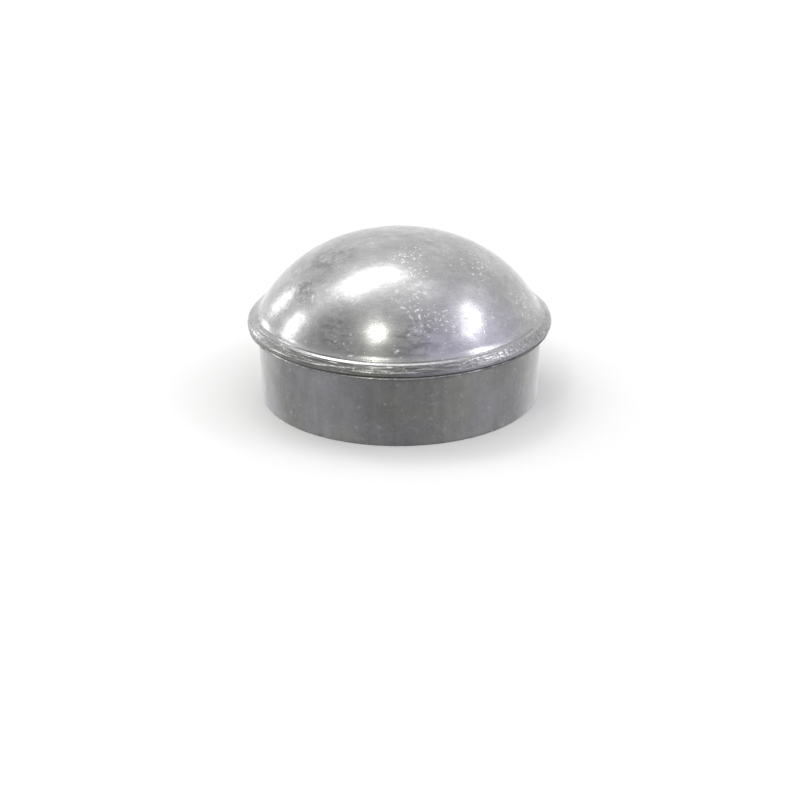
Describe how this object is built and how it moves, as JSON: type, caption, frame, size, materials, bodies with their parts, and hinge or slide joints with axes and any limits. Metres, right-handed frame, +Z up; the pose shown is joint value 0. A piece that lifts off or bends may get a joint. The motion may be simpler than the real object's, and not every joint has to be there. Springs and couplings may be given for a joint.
{
  "type": "fence post cap",
  "caption": "Domed cap for a round fence post: a cast dome with a flared lip over a short tapered skirt that slips over the end of the post.",
  "frame": {"origin": "centre of the skirt's rim, on the plane that the cap stands on", "axes": "+Z up along the cap's axis, from the open mouth to the top of the dome; the cap is round about it, so +X and +Y are free"},
  "size_m": [0.0734, 0.0734, 0.0398],
  "materials": {
    "cast_aluminium": "die cast, tumbled bright on the dome, satin on the skirt"
  },
  "bodies": {
    "root": {"cap_casting": "cast_aluminium"}
  },
  "joints": []
}
